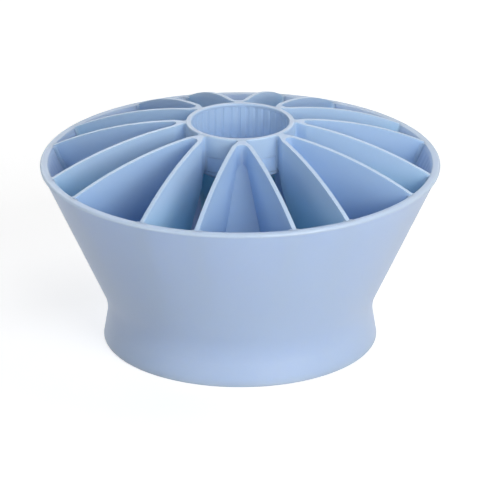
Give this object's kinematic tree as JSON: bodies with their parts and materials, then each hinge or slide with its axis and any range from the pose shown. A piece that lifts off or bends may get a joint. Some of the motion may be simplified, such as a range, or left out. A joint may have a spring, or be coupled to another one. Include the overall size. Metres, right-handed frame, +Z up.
{
  "type": "dryer diffuser",
  "caption": "Flared diffuser bowl for a hair dryer: V-shaped vane pairs round a fluted hub share out the air, and a twist-lock collar with a soft grip in the foot holds the barrel.",
  "frame": {"origin": "on the bowl's axis, on the plane that the foot stands on", "axes": "+Z up the bowl's axis, from the dryer to the rim; the first vane pair points along -Y"},
  "size_m": [0.15, 0.15, 0.0859],
  "materials": {
    "bowl_plastic": "satin",
    "collar_plastic": "satin",
    "grip_rubber": "matte",
    "seal_rubber": "matte"
  },
  "bodies": {
    "bowl": {"outer_shell": "bowl_plastic", "hub_ring": "bowl_plastic", "hub_sleeve": "bowl_plastic", "air_deflector": "bowl_plastic", "vane_pair_1": "bowl_plastic", "vane_pair_2": "bowl_plastic", "vane_pair_3": "bowl_plastic", "vane_pair_4": "bowl_plastic", "vane_pair_5": "bowl_plastic", "vane_pair_6": "bowl_plastic", "vane_pair_7": "bowl_plastic", "vane_pair_8": "bowl_plastic"},
    "collar": {"adapter_collar": "collar_plastic", "grip_ring": "grip_rubber", "seal_ring": "seal_rubber"}
  },
  "joints": [
    {"name": "adapter_twist", "type": "hinge", "parent": "bowl", "child": "collar", "pos_m": [0, 0, 0.01], "axis": [0, 0, 1], "range_deg": [0, 30]}
  ]
}
